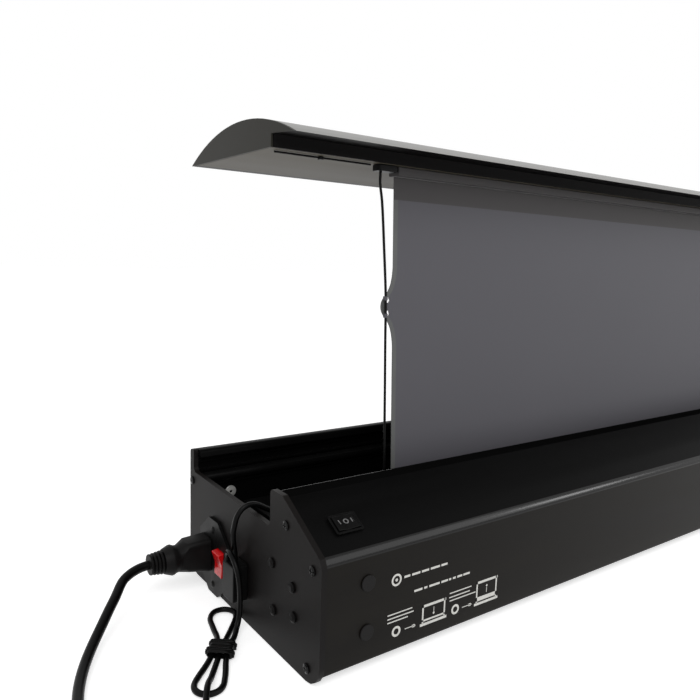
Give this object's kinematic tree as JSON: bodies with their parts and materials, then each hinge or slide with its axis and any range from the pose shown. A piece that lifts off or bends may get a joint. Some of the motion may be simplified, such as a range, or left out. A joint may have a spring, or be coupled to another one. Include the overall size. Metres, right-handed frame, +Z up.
{
  "type": "floor-rising projection screen",
  "caption": "Floor-rising ambient light rejecting screen, partly raised: black trough case, roller with grey fabric, arched lid on folding arms, switch, power inlet and leads.",
  "frame": {"origin": "on the floor, under the middle of the case", "axes": "+X along the case to its right end, +Y from the front face to the back, +Z up"},
  "size_m": [2.0986, 0.2669, 0.353],
  "materials": {
    "case_black": "satin black coated aluminium extrusion",
    "plate_black": "fine textured black powder coat",
    "screw_black": "black oxide",
    "aluminium": "satin extruded",
    "screen_fabric": "matte grey coated screen fabric",
    "bright_steel": "zinc plated",
    "black_plastic": "moulded black",
    "lid_black": "satin black coated aluminium extrusion",
    "lid_grey": "dark grey satin end cap",
    "panel_grey": "matte grey-brown underside",
    "cord_black": "black sheath",
    "black_rubber": "moulded soft black",
    "red_plastic": "glossy translucent red"
  },
  "bodies": {
    "case": {"front_housing": "case_black", "rear_tray": "case_black", "left_end_plate": "plate_black", "right_end_plate": "plate_black", "left_rear_screw": "screw_black", "left_hump_screw": "screw_black", "left_nose_screw": "screw_black", "left_toe_screw": "screw_black", "right_rear_screw": "screw_black", "right_hump_screw": "screw_black", "right_nose_screw": "screw_black", "right_toe_screw": "screw_black", "left_roller_bracket": "screw_black", "right_roller_bracket": "screw_black", "tubular_motor": "bright_steel", "idler_pin": "bright_steel", "base_bracket": "bright_steel", "control_box": "black_plastic", "rocker_bezel": "black_plastic", "power_inlet": "black_plastic", "jack_block": "black_plastic", "screen_fabric": "screen_fabric", "left_tension_cord": "cord_black", "right_tension_cord": "cord_black", "mains_connector": "black_rubber", "mains_cord": "cord_black", "mains_coil": "cord_black", "mains_plug": "black_rubber", "jack_lead": "cord_black", "receiver_lead": "cord_black", "receiver_tie": "cord_black", "receiver_eye": "black_plastic"},
    "lid": {"lid_shell": "lid_black", "lid_panel": "panel_grey", "left_lid_cap": "lid_grey", "right_lid_cap": "lid_grey", "fabric_rail": "aluminium", "left_cord_clip": "black_plastic", "right_cord_clip": "black_plastic", "lid_bracket": "bright_steel", "left_lid_pin": "bright_steel", "right_lid_pin": "bright_steel"},
    "roller": {"roller_tube": "aluminium", "wound_fabric": "screen_fabric", "roller_crown": "black_plastic", "drive_wheel": "black_plastic", "idler_cap": "black_plastic"},
    "left_upper": {"left_upper_arm": "aluminium", "left_elbow_pin": "bright_steel"},
    "left_lower": {"left_lower_arm": "aluminium", "left_foot_pin": "bright_steel"},
    "right_upper": {"right_upper_arm": "aluminium", "right_elbow_pin": "bright_steel"},
    "right_lower": {"right_lower_arm": "aluminium", "right_foot_pin": "bright_steel"},
    "control_switch": {"control_rocker": "black_plastic"},
    "power_switch": {"power_rocker": "red_plastic"},
    "upper_plug": {"upper_limit_plug": "black_rubber"},
    "lower_plug": {"lower_limit_plug": "black_rubber"}
  },
  "joints": [
    {"name": "lift", "type": "slide", "parent": "case", "child": "lid", "axis": [0, 0, 1], "range_m": [-0.2267, 0.73], "deforming": ["screen_fabric", "left_tension_cord", "right_tension_cord"]},
    {"name": "roller_turn", "type": "hinge", "parent": "case", "child": "roller", "pos_m": [0, -0.0505, 0.044], "axis": [1, 0, 0], "range_deg": [-385, 1238.6]},
    {"name": "left_shoulder", "type": "hinge", "parent": "lid", "child": "left_upper", "pos_m": [-0.034, 0.0155, 0.307], "axis": [0, -1, 0], "range_deg": [-10.47, 33.26]},
    {"name": "left_elbow", "type": "hinge", "parent": "left_upper", "child": "left_lower", "pos_m": [-0.72149, 0.0305, 0.17523], "axis": [0, -1, 0], "range_deg": [-66.32, 20.73]},
    {"name": "right_shoulder", "type": "hinge", "parent": "lid", "child": "right_upper", "pos_m": [0.034, 0.0155, 0.307], "axis": [0, 1, 0], "range_deg": [-10.47, 33.26]},
    {"name": "right_elbow", "type": "hinge", "parent": "right_upper", "child": "right_lower", "pos_m": [0.72149, 0.0305, 0.17523], "axis": [0, 1, 0], "range_deg": [-66.32, 20.73]},
    {"name": "control_rock", "type": "hinge", "parent": "case", "child": "control_switch", "pos_m": [-0.879, -0.0771, 0.09339], "axis": [0, 0.8695, 0.494], "range_deg": [-7, 7]},
    {"name": "power_rock", "type": "hinge", "parent": "case", "child": "power_switch", "pos_m": [-0.91, 0.038, 0.03], "axis": [0, 1, 0], "range_deg": [0, 16]},
    {"name": "upper_plug_pull", "type": "slide", "parent": "case", "child": "upper_plug", "axis": [0, -1, 0], "range_m": [0, 0.009]},
    {"name": "lower_plug_pull", "type": "slide", "parent": "case", "child": "lower_plug", "axis": [0, -1, 0], "range_m": [0, 0.009]}
  ],
  "couplings": [
    {"joint": "roller_turn", "follows": "lift", "rad_per_m": 29.6},
    {"joint": "left_shoulder", "follows": "lift", "rad_per_m": 0.79041},
    {"joint": "left_elbow", "follows": "lift", "rad_per_m": -1.5808},
    {"joint": "right_shoulder", "follows": "lift", "rad_per_m": 0.79041},
    {"joint": "right_elbow", "follows": "lift", "rad_per_m": -1.5808}
  ]
}
